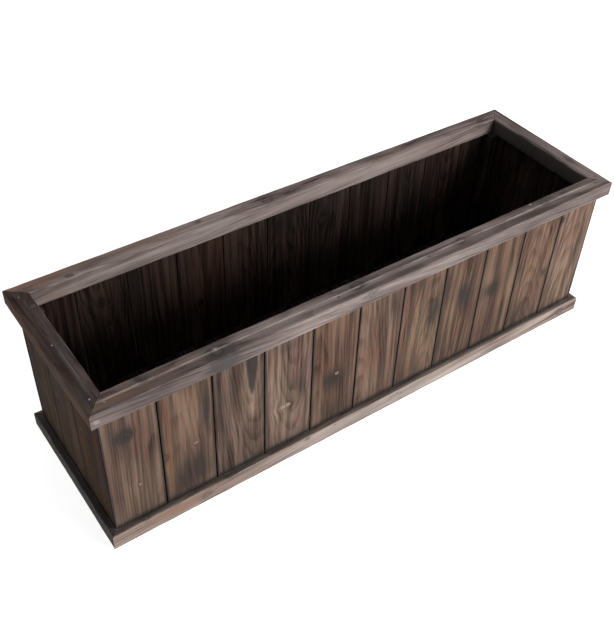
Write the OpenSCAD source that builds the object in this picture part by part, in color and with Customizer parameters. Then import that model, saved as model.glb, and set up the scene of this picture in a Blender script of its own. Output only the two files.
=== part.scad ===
// Rectangular planter box: upright boards on a hidden bottom frame, held together by a mitred
// rim that sits over the board tops and by mitred trim strips round the foot.
// The origin is at the middle of the footprint, on the ground. +X runs along the box, +Z is up.

/* [Overall] */
// Length over the rim
rim_l = 1000; // [600:10:1200]
// Width over the rim
rim_w = 300; // [240:5:400]
// Height from the ground to the top of the rim
height = 304; // [220:2:420]

/* [Rim rails] */
// Width of a rim rail, from its outer face to its inner face
rail_w = 32; // [28:1:45]
// Thickness of a rim rail at its inner half
rail_t = 30; // [24:1:40]
// Distance from the outer face to the small step along the rail's top
step_at = 17; // [16:0.5:20]
// Height of the step along the rail's top
step_h = 1.4; // [0.5:0.1:2.5]
// Fall of the outer half of the top, from the step to the outer face
outer_fall = 1.4; // [0.5:0.1:3]
// Easing of the long edges of the rails
rail_ease = 1.5; // [0.5:0.1:2.5]
// Depth of the groove under a rail that takes the board tops
groove_d = 8; // [5:0.5:12]
// How far the rim stands out past the face of the boards
overhang = 12.5; // [11:0.5:16]

/* [Boards] */
// Thickness of the wall and floor boards
board_t = 10; // [8:0.5:14]
// Number of boards along the front, and along the back
long_boards = 11; // [6:1:11]
// Number of boards in each end
end_boards = 3; // [2:1:3]
// Open joint between two wall boards
board_gap = 1.8; // [0.8:0.1:3]
// Easing of the upright edges on the face of a board
board_ease = 1; // [0.4:0.1:2]

/* [Foot trim] */
// Thickness of a trim strip
trim_t = 11.5; // [8:0.5:12]
// Height of a trim strip
trim_h = 30; // [24:1:45]
// Easing of the upper outer edge of a trim strip
trim_ease = 2; // [0.5:0.5:4]

/* [Inside frame] */
// Side of a square corner post
post = 22; // [18:1:30]
// Thickness of a bottom batten, measured across the wall
batten_t = 18; // [14:1:24]
// Height of a bottom batten
batten_h = 30; // [24:1:40]
// Ground clearance under the bottom battens
batten_z = 8; // [4:1:20]
// Number of floor boards
floor_boards = 10; // [5:1:10]
// Drainage gap between two floor boards
floor_gap = 9; // [4:1:12]

/* [Brads] */
// Radius of a brad's shank
brad_r = 0.9; // [0.7:0.1:1.2]
// Radius of a brad's head
head_r = 1.6; // [1.4:0.1:2]
// Thickness of a brad's head
head_t = 0.8; // [0.5:0.1:1.2]
// Distance of the rim brads from the outer face of the boards
rim_brad_inset = 2.3; // [1.5:0.1:2.5]
// Distance from a rim corner to the first rim brad
corner_brad = 29; // [24:1:40]
// Length of a rim brad
rim_brad_len = 45; // [36:1:60]
// Length of a board brad
board_brad_len = 24; // [16:1:26]
// Distance of a board's two brads from its centre line
brad_spread = 20; // [8:1:24]
// Length of a trim brad
trim_brad_len = 32; // [26:1:34]
// Length of a post brad
post_brad_len = 29; // [26:1:36]
// Length of a floor brad
floor_brad_len = 28; // [18:1:30]
// Distance of the floor brads from the inner face of a bottom batten
floor_brad_in = 4; // [3:0.5:5]

/* [Hidden] */
$fn = 24;
// Working clearance between pieces that slot into each other
fit = 0.2;
// Clearance round a brad's shank
brad_fit = 0.05;
// How far a brad's head is punched below the surface
sunk = 0.4;
// Clearance between the floor boards and the walls
floor_fit = 1;
// Overshoot of a cutting shape
over = 1;

body_l = rim_l - 2 * overhang;
body_w = rim_w - 2 * overhang;
inside_l = body_l - 2 * board_t;
inside_w = body_w - 2 * board_t;
rim_z = height - rail_t;
board_h = rim_z + groove_d - fit;
groove_in = overhang - fit;
groove_w = board_t + 2 * fit;
step_z = rail_t - step_h;
outer_z = step_z - outer_fall;
rim_brad_in = overhang + rim_brad_inset;
rim_brad_z = rim_z + outer_z + outer_fall * (rim_brad_in - head_r) / step_at - sunk;
floor_z = batten_z + batten_h;
board_brad_z = batten_z + batten_h * 0.25;
trim_brad_z = batten_z + batten_h * 0.6;
post_h = rim_z - floor_z;

// The four sides in order: 0 front, 1 right, 2 back, 3 left
SIDES = ["front", "right", "back", "left"];
CORNERS = ["front_left", "front_right", "back_right", "back_left"];

function side_length(side) = side % 2 == 0 ? rim_l : rim_w;
function board_count(side) = side % 2 == 0 ? long_boards : end_boards;

// Stretch of wall that a side's boards share, measured along the rim from its corner
function wall_start(side) = side % 2 == 0 ? overhang : overhang + board_t + fit;
function wall_length(side) = side_length(side) - 2 * wall_start(side);
function board_width(side) =
    (wall_length(side) - (board_count(side) - 1) * board_gap) / board_count(side);
function board_start(side, i) =
    wall_start(side) + (i - 1) * (board_width(side) + board_gap);
function board_centre(side, i) = board_start(side, i) + board_width(side) / 2;

// Where the brads go along a side
function odd_centres(side) =
    [for (i = [1 : 2 : board_count(side)]) board_centre(side, i)];
function mid_centres(side) =
    board_count(side) > 5
        ? [for (i = [3 : 2 : board_count(side) - 2]) board_centre(side, i)]
        : board_count(side) == 3 ? [board_centre(side, 2)] : [];
function rim_brads_at(side) =
    concat([corner_brad], mid_centres(side), [side_length(side) - corner_brad]);
function board_brads_at(side) =
    [for (i = [1 : board_count(side)], d = [-brad_spread, brad_spread]) board_centre(side, i) + d];

floor_l = inside_l - 2 * floor_fit;
floor_w = inside_w - 2 * floor_fit;
floor_board_w = (floor_l - (floor_boards - 1) * floor_gap) / floor_boards;
function floor_start(i) = -floor_l / 2 + (i - 1) * (floor_board_w + floor_gap);
floor_brad_y = inside_w / 2 - batten_t + floor_brad_in;

// Puts a piece drawn along +X from the origin, with its outer face at y = 0, on one side
module on_side(side) {
    x = side == 0 || side == 3 ? -rim_l / 2 : rim_l / 2;
    y = side < 2 ? -rim_w / 2 : rim_w / 2;
    translate([x, y, 0]) rotate([0, 0, 90 * side]) children();
}

// A bar with the given cross-section, (distance from the outer face, height), mitred at both ends
module mitred_bar(length, outline, depth, tall) {
    intersection() {
        rotate([90, 0, 90]) linear_extrude(length) polygon(outline);
        translate([0, 0, -over]) linear_extrude(tall + 2 * over)
            polygon([[fit / 2, 0], [length - fit / 2, 0],
                     [length - depth - fit / 2, depth], [depth + fit / 2, depth]]);
    }
}

// Brad with its head's top at the origin, pointing down
module brad(length) {
    translate([0, 0, -head_t]) cylinder(r = head_r, h = head_t);
    translate([0, 0, -length]) cylinder(r = brad_r, h = length - head_t + 0.01);
}

// Hole for the same brad, open above its head
module brad_hole(length) {
    translate([0, 0, -head_t - fit / 2]) cylinder(r = head_r + brad_fit, h = head_t + sunk + over);
    translate([0, 0, -length - fit]) cylinder(r = brad_r + brad_fit, h = length);
}

// Places for brads, each with the brad pointing down its own axis
module rim_brad_places(side) {
    for (x = rim_brads_at(side))
        on_side(side) translate([x, rim_brad_in, rim_brad_z]) children();
}

module board_brad_places(side) {
    for (x = board_brads_at(side))
        on_side(side) translate([x, overhang + sunk, board_brad_z]) rotate([90, 0, 0]) children();
}

module trim_brad_places(side) {
    for (x = odd_centres(side))
        on_side(side) translate([x, overhang - trim_t + sunk, trim_brad_z])
            rotate([90, 0, 0]) children();
}

// Two brads from a corner post into each of the two boards that meet there, spaced up the post
module post_brad_places(corner) {
    at = overhang + board_t;
    on_side(corner) {
        for (up = [0.2, 0.7])
            translate([at + post / 2, at + post - sunk, floor_z + post_h * up])
                rotate([-90, 0, 0]) children();
        for (up = [0.3, 0.8])
            translate([at + post - sunk, at + post / 2, floor_z + post_h * up])
                rotate([0, 90, 0]) children();
    }
}

module floor_brad_places(i) {
    x = floor_start(i) + floor_board_w / 2;
    for (y = [-floor_brad_y, floor_brad_y])
        translate([x, y, floor_z + board_t - sunk]) children();
}

module rim_rail(side) {
    color("#544844") difference() {
        on_side(side) translate([0, 0, rim_z])
            mitred_bar(side_length(side), [
                [0, 0], [groove_in, 0], [groove_in, groove_d],
                [groove_in + groove_w, groove_d], [groove_in + groove_w, 0], [rail_w, 0],
                [rail_w, rail_t - rail_ease], [rail_w - rail_ease, rail_t],
                [step_at + step_h / 2, rail_t], [step_at, step_z],
                [rail_ease, outer_z + outer_fall * rail_ease / step_at], [0, outer_z - rail_ease]
            ], rail_w, rail_t);
        rim_brad_places(side) brad_hole(rim_brad_len);
    }
}

module trim_strip(side) {
    inset = overhang - trim_t;
    color("#5d4a3f") difference() {
        on_side(side) translate([inset, inset, 0])
            mitred_bar(side_length(side) - 2 * inset, [
                [0, 0], [trim_t, 0], [trim_t, trim_h], [trim_ease, trim_h], [0, trim_h - trim_ease]
            ], trim_t, trim_h);
        trim_brad_places(side) brad_hole(trim_brad_len);
    }
}

// Plan of a board whose face is at y = 0, with the upright edges of that face eased
module board_plan(width) {
    polygon([[board_ease, 0], [width - board_ease, 0], [width, board_ease],
             [width, board_t], [0, board_t], [0, board_ease]]);
}

module wall_board(side, i) {
    color(side % 2 == 0 ? "#7a6353" : "#4a3c36") difference() {
        on_side(side) translate([board_start(side, i), overhang, 0])
            linear_extrude(board_h) board_plan(board_width(side));
        board_brad_places(side) brad_hole(board_brad_len);
        trim_brad_places(side) brad_hole(trim_brad_len);
        rim_brad_places(side) brad_hole(rim_brad_len);
        for (corner = [side, (side + 1) % 4]) post_brad_places(corner) brad_hole(post_brad_len);
    }
}

// Square posts that stand on the ends of the long battens, up to the underside of the rim
module corner_post(corner) {
    color("#3a302b") difference() {
        on_side(corner) translate([overhang + board_t, overhang + board_t, floor_z])
            cube([post, post, post_h]);
        post_brad_places(corner) brad_hole(post_brad_len);
    }
}

// The long battens run the whole inside length, and the end battens fit between them
module bottom_batten(side) {
    end = overhang + board_t + (side % 2 == 0 ? 0 : batten_t);
    color("#3a302b") difference() {
        on_side(side) translate([end + fit, overhang + board_t, batten_z])
            cube([side_length(side) - 2 * (end + fit), batten_t, batten_h]);
        for (s = [side, (side + 1) % 4, (side + 3) % 4]) {
            board_brad_places(s) brad_hole(board_brad_len);
            trim_brad_places(s) brad_hole(trim_brad_len);
        }
        if (side % 2 == 0)
            for (i = [1 : floor_boards]) floor_brad_places(i) brad_hole(floor_brad_len);
    }
}

// Floor board across the box, notched where it meets a corner post
module floor_board(i) {
    color("#3a302b") difference() {
        translate([floor_start(i), -floor_w / 2, floor_z]) cube([floor_board_w, floor_w, board_t]);
        for (corner = [0 : 3]) on_side(corner)
            translate([overhang + board_t - fit, overhang + board_t - fit, floor_z - over])
                cube([post + 2 * fit, post + 2 * fit, board_t + 2 * over]);
        floor_brad_places(i) brad_hole(floor_brad_len);
    }
}

module rim_brads() {
    color("silver") for (s = [0 : 3]) rim_brad_places(s) brad(rim_brad_len);
}

module trim_brads() {
    color("silver") for (s = [0 : 3]) trim_brad_places(s) brad(trim_brad_len);
}

module board_brads() {
    color("silver") for (s = [0 : 3]) board_brad_places(s) brad(board_brad_len);
}

module post_brads() {
    color("silver") for (corner = [0 : 3]) post_brad_places(corner) brad(post_brad_len);
}

module floor_brads() {
    color("silver") for (i = [1 : floor_boards]) floor_brad_places(i) brad(floor_brad_len);
}

for (s = [0 : 3]) {
    rim_rail(s);
    trim_strip(s);
    bottom_batten(s);
    corner_post(s);
    for (i = [1 : board_count(s)])
        wall_board(s, i);
}
for (i = [1 : floor_boards])
    floor_board(i);
rim_brads();
trim_brads();
board_brads();
post_brads();
floor_brads();
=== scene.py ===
# %% [markdown]
# # A planter box of scorched and brushed softwood
#
# The box is a ring of upright boards on a hidden bottom frame. A mitred rim sits over the board tops, and
# mitred trim strips run round the foot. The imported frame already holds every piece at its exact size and
# place. What is left for this lesson is to turn plain bars into wood: eased edges, a surface that isn't
# quite flat, growth rings that bend round knots, scorch marks and worn corners.

# %% Load the frame
import math
import random

import bmesh
import bpy
import numpy as np
from mathutils import Matrix, Vector


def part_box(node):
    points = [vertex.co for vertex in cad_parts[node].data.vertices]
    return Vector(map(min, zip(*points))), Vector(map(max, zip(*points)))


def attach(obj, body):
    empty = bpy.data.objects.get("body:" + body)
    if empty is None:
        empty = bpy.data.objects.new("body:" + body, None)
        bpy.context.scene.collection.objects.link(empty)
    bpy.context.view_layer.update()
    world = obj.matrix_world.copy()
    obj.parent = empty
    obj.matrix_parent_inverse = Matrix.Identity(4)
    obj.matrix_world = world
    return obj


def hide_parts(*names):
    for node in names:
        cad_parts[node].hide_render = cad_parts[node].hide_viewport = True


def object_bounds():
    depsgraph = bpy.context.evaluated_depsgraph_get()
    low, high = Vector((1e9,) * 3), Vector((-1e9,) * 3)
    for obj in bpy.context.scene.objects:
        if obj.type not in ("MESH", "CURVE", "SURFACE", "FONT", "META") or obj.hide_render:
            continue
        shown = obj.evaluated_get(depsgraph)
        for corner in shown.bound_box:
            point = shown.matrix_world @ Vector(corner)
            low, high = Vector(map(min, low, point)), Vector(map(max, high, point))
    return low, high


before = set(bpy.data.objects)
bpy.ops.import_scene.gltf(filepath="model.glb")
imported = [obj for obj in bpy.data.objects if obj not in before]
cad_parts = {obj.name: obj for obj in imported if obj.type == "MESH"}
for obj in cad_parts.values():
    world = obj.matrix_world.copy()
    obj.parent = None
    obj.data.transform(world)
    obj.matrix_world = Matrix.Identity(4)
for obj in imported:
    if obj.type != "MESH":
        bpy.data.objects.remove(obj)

cad_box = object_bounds()
MM = 0.001
print("the frame holds", len(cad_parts), "nodes")

# %% [markdown]
# ## Sizes come from the frame
#
# A joiner measures the carcass before cutting the rail to fit it. In the same way every size here is read
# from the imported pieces, so nothing has to be fitted afterwards. The script works in millimetres and
# turns them into Blender's metres at the last moment.

# %% Measure the pieces
def size_of(node):
    """length of a node's box along each axis, in millimetres"""
    low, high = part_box(node)
    return [(b - a) / MM for a, b in zip(low, high)]


half_l = cad_box[1].x / MM
half_w = cad_box[1].y / MM
rim_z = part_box("rim_front")[0].z / MM
rim_l, rail_w, rail_t = size_of("rim_front")
rim_w = size_of("rim_right")[1]
board_w, board_t, board_h = size_of("front_board_1")
end_board_w = size_of("right_board_1")[1]
trim_l, trim_t, trim_h = size_of("trim_front")
trim_w = size_of("trim_right")[1]
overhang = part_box("front_board_1")[0].y / MM + half_w
print(f"rail {rail_w:.1f} x {rail_t:.1f} mm, board {board_w:.1f} x {board_h:.1f} x {board_t:.1f} mm")

# %% [markdown]
# A finished piece keeps its place in its own mesh, with its origin at the frame's, so a pattern in the wood
# neither slides nor turns.

# %% Select and settle a piece
def only(piece):
    """makes one piece the only selected one"""
    bpy.ops.object.select_all(action="DESELECT")
    piece.select_set(True)
    bpy.context.view_layer.objects.active = piece


def settle(piece):
    """puts a piece's place, turn and scale into its mesh, and leaves its origin at the frame's"""
    only(piece)
    bpy.ops.object.transform_apply(location=True, rotation=True, scale=True)


# %% [markdown]
# ## Four sides, drawn once
#
# The front, right, back and left of the box are the same work turned by a quarter. Everything on a side is
# drawn along +X from that side's own corner, with the outer face at y = 0, and then turned into place. One
# function goes from a side's own millimetres to the box, and one goes back.

# %% Copy a piece onto its side, and measure along a side
SIDES = ("front", "right", "back", "left")


def copy_to(model, name, place=(0, 0, 0), side=None):
    """copies a model with its own mesh, moves it some millimetres and turns it onto its side of the box"""
    piece = model.copy()
    piece.data = model.data.copy()
    piece.name = piece.data.name = name
    bpy.context.scene.collection.objects.link(piece)
    piece.location = [distance * MM for distance in place]
    settle(piece)
    if side is None:
        return piece
    corner_x = -half_l if side in (0, 3) else half_l
    corner_y = -half_w if side < 2 else half_w
    piece.location = (corner_x * MM, corner_y * MM, 0)
    piece.rotation_euler.z = math.radians(90) * side
    settle(piece)
    return piece


def points_of(piece, side=None):
    """the piece's vertices in millimetres: along its side, in from the outer face, and up"""
    found = np.empty(len(piece.data.vertices) * 3, np.float32)
    piece.data.vertices.foreach_get("co", found)
    x, y, z = found.reshape(-1, 3).T / MM
    if side is None:
        return x, y, z
    along = (x + half_l, y + half_w, half_l - x, half_w - y)[side]
    inward = (y + half_w, half_l - x, half_w - y, x + half_l)[side]
    return along, inward, z


# %% [markdown]
# ## Working in edit mode
#
# By hand, one would click an edge or a ring of edges. In code the click is a test on where a vertex lies or
# which way an edge runs. Everything is deselected first, because an operator works on all that is selected.

# %% Pick vertices and edges
AXES = {"x": 0, "y": 1, "z": 2}
TOUCH = 0.02 * MM
NEAR = 0.1


def pick_verts(test):
    """selects only the vertices whose place, in millimetres, passes the test"""
    bpy.ops.mesh.select_mode(type="VERT")
    bpy.ops.mesh.select_all(action="DESELECT")
    mesh = bmesh.from_edit_mesh(bpy.context.edit_object.data)
    for vertex in mesh.verts:
        vertex.select_set(test(*(vertex.co / MM)))
    mesh.select_flush_mode()


def pick_edges(axis, test=lambda x, y, z: True):
    """selects only the edges that run along an axis and whose middle, in millimetres, passes the test"""
    bpy.ops.mesh.select_mode(type="EDGE")
    bpy.ops.mesh.select_all(action="DESELECT")
    mesh = bmesh.from_edit_mesh(bpy.context.edit_object.data)
    for edge in mesh.edges:
        run = edge.verts[1].co - edge.verts[0].co
        straight = abs(run[AXES[axis]]) > 0.9999 * run.length and run.length > TOUCH
        middle = (edge.verts[0].co + edge.verts[1].co) / 2 / MM
        edge.select_set(straight and test(*middle))
    mesh.select_flush_mode()


# %% [markdown]
# Three steps come back on every piece: slicing it finely, easing its edges, and cleaning the mesh at the
# end so that all its faces point outwards.

# %% Divide, ease and clean
def divide(axis, *passes):
    """slices the piece across an axis; each pass puts that many cuts into every slice"""
    for cuts in passes:
        pick_edges(axis)
        bpy.ops.mesh.subdivide(number_cuts=cuts)


def ease(width, segments=2):
    """rounds the picked edges over"""
    bpy.ops.mesh.bevel(offset=width * MM, segments=segments, affect="EDGES")


def tidy_mesh():
    """merges doubles, then turns all faces outwards"""
    bpy.ops.mesh.select_all(action="SELECT")
    bpy.ops.mesh.remove_doubles(threshold=TOUCH / 4)
    bpy.ops.mesh.normals_make_consistent(inside=False)


# %% [markdown]
# ## The bars of the rim and the trim
#
# A moulded rail is planed to its section first and sawn to length after. The same order works here: an
# upright rectangle is cut into strips, the strips that the plane and the router take away are lowered or
# deleted, and the section is then extruded along the rail. The ends are sawn last, at 45 degrees, with a
# bisect that throws away the waste and closes the cut.

# %% Start a section, extrude it, mitre it
MITRE_GAP = 0.2


def start_section(width, tall, bottom, across_cuts, up_cuts):
    """an upright rectangle at the start of a bar, cut into strips at the given distances"""
    bpy.ops.object.select_all(action="DESELECT")
    middle = (0, width / 2 * MM, (bottom + tall / 2) * MM)
    bpy.ops.mesh.primitive_plane_add(size=1, location=middle, rotation=(0, math.radians(90), 0))
    section = bpy.context.object
    section.scale = (tall * MM, width * MM, 1)
    settle(section)
    bpy.ops.object.mode_set(mode="EDIT")
    for distance in across_cuts:
        bpy.ops.mesh.select_all(action="SELECT")
        bpy.ops.mesh.bisect(plane_co=(0, distance * MM, 0), plane_no=(0, 1, 0))
    for distance in up_cuts:
        bpy.ops.mesh.select_all(action="SELECT")
        bpy.ops.mesh.bisect(plane_co=(0, 0, (bottom + distance) * MM), plane_no=(0, 0, 1))
    return section


def extrude_bar(length):
    """pulls the whole section out along X"""
    bpy.ops.mesh.select_all(action="SELECT")
    bpy.ops.mesh.extrude_region_move(TRANSFORM_OT_translate={"value": (length * MM, 0, 0)})
    tidy_mesh()


def mitre_ends(length):
    """saws both ends at 45 degrees, half the joint's gap short of the corner"""
    slope = math.sqrt(0.5)
    for end, lean in ((MITRE_GAP / 2, -slope), (length - MITRE_GAP / 2, slope)):
        bpy.ops.mesh.select_all(action="SELECT")
        bpy.ops.mesh.bisect(
            plane_co=(end * MM, 0, 0), plane_no=(lean, slope, 0), use_fill=True, clear_outer=True
        )
    tidy_mesh()
    bpy.ops.object.mode_set(mode="OBJECT")


# %% [markdown]
# ### Rim rail
#
# A rim rail is 32 mm wide with a small step along the middle of its top. The half inside the step is flat,
# and the outer half falls gently to the outer face, so that water runs off. Underneath, a groove takes the
# tops of the boards. The long outer corners are rounded over more than the inner ones, because hands and
# watering cans rub them.

# %% Model a rim rail
STEP_AT = 17
STEP_RISE = 1.4
OUTER_FALL = 1.4
STEP_RUN = 0.7
OUTER_ROUND = 1.9
INNER_ROUND = 1.3
groove_low = overhang - MITRE_GAP
groove_high = overhang + board_t + MITRE_GAP
groove_deep = board_h - rim_z + MITRE_GAP


def rail_top_drop(inward):
    """how far the top of a rail lies below its inner half"""
    return STEP_RISE + OUTER_FALL * (1 - inward / STEP_AT) if inward < STEP_AT + NEAR else 0


def rim_rail_model(name, length, *slices):
    across = (3, 6, 9, groove_low, 14.7, STEP_AT, STEP_AT + STEP_RUN, 20, groove_high, 25.5, 28.5)
    up = (4, groove_deep, 11.5, 15, 18.5, 22, 25.5)
    rail = start_section(rail_w, rail_t, rim_z, across, up)
    rail.name = name
    pick_verts(lambda x, y, z: groove_low - NEAR < y < groove_high + NEAR and z < rim_z + groove_deep - NEAR)
    bpy.ops.mesh.delete(type="VERT")
    for place in (0, *across[:6]):
        pick_verts(lambda x, y, z: abs(y - place) < NEAR and z > rim_z + rail_t - NEAR)
        bpy.ops.transform.translate(value=(0, 0, -rail_top_drop(place) * MM))
    extrude_bar(length)
    outer_top = rim_z + rail_t - STEP_RISE - OUTER_FALL
    pick_edges("x", lambda x, y, z: y < NEAR and (z > outer_top - NEAR or z < rim_z + NEAR))
    ease(OUTER_ROUND, 3)
    pick_edges("x", lambda x, y, z: y > rail_w - NEAR and (z > rim_z + rail_t - NEAR or z < rim_z + NEAR))
    ease(INNER_ROUND)
    divide("x", *slices)
    mitre_ends(length)
    return rail


long_rail = rim_rail_model("long_rail", rim_l, 15, 15)
short_rail = rim_rail_model("short_rail", rim_w, 8, 8)
print("rim rail:", len(long_rail.data.polygons), "faces long,", len(short_rail.data.polygons), "short")

# %% [markdown]
# ### Foot trim
#
# The trim is a plain strip, set on edge against the foot of the boards. Its upper outer corner is rounded
# over. It stands 1 mm inside the line of the rim, so the rim still catches the drips.

# %% Model a trim strip
TRIM_ROUND = 2
TRIM_ARRIS = 0.6


def trim_model(name, length, *slices):
    strip = start_section(trim_t, trim_h, 0, (3, 6, 9), (4, 8, 12, 16, 20, 24))
    strip.name = name
    extrude_bar(length)
    pick_edges("x", lambda x, y, z: y < NEAR and z > trim_h - NEAR)
    ease(TRIM_ROUND, 3)
    pick_edges("x", lambda x, y, z: z < NEAR or (y > trim_t - NEAR and z > trim_h - NEAR))
    ease(TRIM_ARRIS)
    divide("x", *slices)
    mitre_ends(length)
    return strip


long_trim = trim_model("long_trim", trim_l, 15, 15)
short_trim = trim_model("short_trim", trim_w, 8, 8)
print("trim strip:", len(long_trim.data.polygons), "faces long")

# %% [markdown]
# ## Boards, posts and battens
#
# All the other pieces are sawn to a plain oblong. A cube is added at the piece's size, all its edges are
# eased at once, and then it is divided into a fine net. The net isn't for the outline: it is there so that
# the surface can be made a little uneven, and so that each vertex can say where it lay in the log.

# %% Model a plank
PLANED = 0.5
SAWN = 0.8


def plank_model(name, size, edge, x_cuts, y_cuts, z_cuts):
    bpy.ops.object.select_all(action="DESELECT")
    scaled = [length * MM for length in size]
    bpy.ops.mesh.primitive_cube_add(size=1, location=[length / 2 for length in scaled], scale=scaled)
    plank = bpy.context.object
    plank.name = name
    settle(plank)
    bpy.ops.object.mode_set(mode="EDIT")
    bpy.ops.mesh.select_all(action="SELECT")
    ease(edge)
    for axis, passes in zip("xyz", (x_cuts, y_cuts, z_cuts)):
        divide(axis, *passes)
    tidy_mesh()
    bpy.ops.object.mode_set(mode="OBJECT")
    return plank


front_board = plank_model("front_board", (board_w, board_t, board_h), PLANED, (5, 4), (2,), (7, 7))
end_board = plank_model("end_board", (end_board_w, board_t, board_h), PLANED, (5, 4), (2,), (7, 7))
post = plank_model("post", size_of("post_front_left"), SAWN, (4,), (4,), (6, 6))
long_batten = plank_model("long_batten", size_of("batten_front"), SAWN, (11, 11), (4,), (5,))
end_batten = plank_model("end_batten", size_of("batten_right"), SAWN, (4,), (5, 6), (5,))
floor_plank = plank_model("floor_plank", size_of("floor_board_2"), SAWN, (3, 3), (6, 6), (2,))
print("front board:", len(front_board.data.polygons), "faces")

# %% [markdown]
# ## Brad holes
#
# Each piece is held by thin brads, punched just below the surface. They are real pieces in the frame, and
# their heads would stay buried in solid wood. So each brad is found by taking a copy of its group apart, and
# a short drill bit as wide as its head is cut out of the wood with a Boolean.

# %% Find the brads
def brads_in(node):
    """middle and half size of each brad of a node, in metres, with the long axis it runs along"""
    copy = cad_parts[node].copy()
    copy.data = copy.data.copy()
    copy.parent = None
    bpy.context.scene.collection.objects.link(copy)
    only(copy)
    bpy.ops.object.mode_set(mode="EDIT")
    tidy_mesh()
    bpy.ops.mesh.separate(type="LOOSE")
    bpy.ops.object.mode_set(mode="OBJECT")
    found = []
    for brad in list(bpy.context.selected_objects):
        corners = np.array([vertex.co for vertex in brad.data.vertices])
        low, high = corners.min(0), corners.max(0)
        found.append(((low + high) / 2, (high - low) / 2, int(np.argmax(high - low))))
        bpy.data.objects.remove(brad)
    return found


BRADS = {name: brads_in(name) for name in ("rim_brads", "trim_brads", "post_brads", "floor_brads")}
print("brads:", {name: len(found) for name, found in BRADS.items()})

# %% [markdown]
# The head end of a brad is the one nearest the face it was driven from. For the rim and the floor that is
# the top, for the trim the outside of the box, and for the posts the inside.

# %% Find the heads
def heads_of(node):
    """the middle of each head's top, the axis that the brad runs along, and the head's radius"""
    heads = []
    for middle, half, axis in BRADS[node]:
        out = 1.0
        if axis < 2:
            out = math.copysign(1.0, middle[axis]) * (-1 if node == "post_brads" else 1)
        place = middle.copy()
        place[axis] += out * half[axis]
        heads.append((place, axis, max(half[(axis + 1) % 3], half[(axis + 2) % 3])))
    return heads


print(f"a head is {2 * heads_of('rim_brads')[0][2] / MM:.1f} mm wide")

# %% [markdown]
# A bit is put at each head, long enough to clear the surface and just deep enough to bare the head. All
# bits for one piece are joined, so that the Boolean cuts once.

# %% Drill down to the heads
HEAD_ROOM = 0.1
HOLE_DEPTH = 1.3


def carve(piece, cutters):
    """cuts other solids out of a piece, and removes them"""
    for cutter in cutters:
        only(piece)
        change = piece.modifiers.new("carve", "BOOLEAN")
        change.operation = "DIFFERENCE"
        change.solver = "EXACT"
        change.object = cutter
        bpy.ops.object.modifier_apply(modifier=change.name)
        bpy.data.objects.remove(cutter)


def drill(piece, node):
    """bares the heads of the brads of that node which lie in this piece's box"""
    corners = np.array(piece.bound_box)
    low, high = corners.min(0), corners.max(0)
    bits = []
    for place, axis, radius in heads_of(node):
        if np.any(place < low - MM) or np.any(place > high + MM):
            continue
        turn = ((0, math.radians(90), 0), (math.radians(90), 0, 0), (0, 0, 0))[axis]
        bpy.ops.object.select_all(action="DESELECT")
        bpy.ops.mesh.primitive_cylinder_add(
            vertices=20, radius=radius + HEAD_ROOM * MM, depth=2 * HOLE_DEPTH * MM,
            location=place, rotation=turn,
        )
        bits.append(bpy.context.object)
    if bits:
        for bit in bits:
            bit.select_set(True)
        bpy.context.view_layer.objects.active = bits[0]
        if len(bits) > 1:
            bpy.ops.object.join()
        carve(piece, [bits[0]])


# %% [markdown]
# ## Where each vertex lay in its log
#
# Wood has its pattern because it was cut out of rings. If every vertex knows where in the log it lay, one
# ring pattern draws straight lines on the edge of a board, pointed arches on its face and arcs on its sawn
# end, all meeting at the corners. So each piece gets a seeded place in a log, stored as "log".
#
# Knots push the rings aside, as a post does with water. The attribute "knot" holds the place inside the
# nearest knot, in knot radii, and its third number is 1 near a knot, so a shader can draw a sharp round
# knot on a coarse net.

# %% Store vectors and numbers on the vertices
def store(piece, name, values):
    """puts a number or a vector on every vertex"""
    values = np.asarray(values, np.float32)
    kind = "FLOAT" if values.ndim == 1 else "FLOAT_VECTOR"
    attribute = piece.data.attributes.new(name, kind, "POINT")
    attribute.data.foreach_set("value" if values.ndim == 1 else "vector", values.ravel())


def arris_distance(points, low, high):
    """distance in millimetres from the nearest edge of a box, for points on its surface"""
    gaps = [np.abs(part - end) for ends in (low, high) for part, end in zip(points, ends)]
    return np.sort(np.stack(gaps, -1), -1)[:, 1]


def bell(along, across, middle_along, middle_across, half_long, half_wide):
    """a soft oval patch, 1 in its middle"""
    return np.exp(-(((along - middle_along) / half_long) ** 2) - ((across - middle_across) / half_wide) ** 2)


# %% [markdown]
# A mark is written as its kind, its place along and across the piece, and its size, all in millimetres:
#
# - knot: radius, how pale it is from 0 for black to 1 for bare wood, and how much longer it is than wide
# - scorch, warm and bare: half length, half width and strength, for a smoky patch, a reddish streak of
#   resin, and a spot where the stain has come off; some smoky patches are painted shade, and some bare
#   lines are a painted highlight
# - arch: length, half width and strength, for the dark pointed figure where a cut grazes one ring; its
#   place is the tip, and it opens upwards

# %% Draw an arch, and lay a piece in its log
ARCH_EDGE = 2.5
ARCH_LINE = 1.8


def draw_arch(patches, along, across, at, beside, long, wide, strength):
    """darkens the inside of an arch and bares a thin line round it"""
    opening = wide * np.sqrt(np.clip((along - at) / long, 0, 1))
    inside = opening - np.abs(across - beside)
    patches["scorch"] += strength * np.clip(inside / ARCH_EDGE, 0, 1)
    patches["bare"] += 0.8 * np.exp(-((inside / ARCH_LINE) ** 2)) * (along > at)


def place_in_log(across, deep, along, chance):
    """moves a piece to a seeded place in a log and leans it against the log's axis"""
    pith = (chance.uniform(-35, 35), chance.uniform(18, 70))
    lean = (chance.uniform(-0.03, 0.03), chance.choice((-1, 1)) * chance.uniform(0.02, 0.09))
    return np.stack([
        across - across.mean() + pith[0] + lean[0] * along,
        deep + pith[1] + lean[1] * along,
        along + chance.uniform(0, 9000),
    ], -1)
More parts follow.
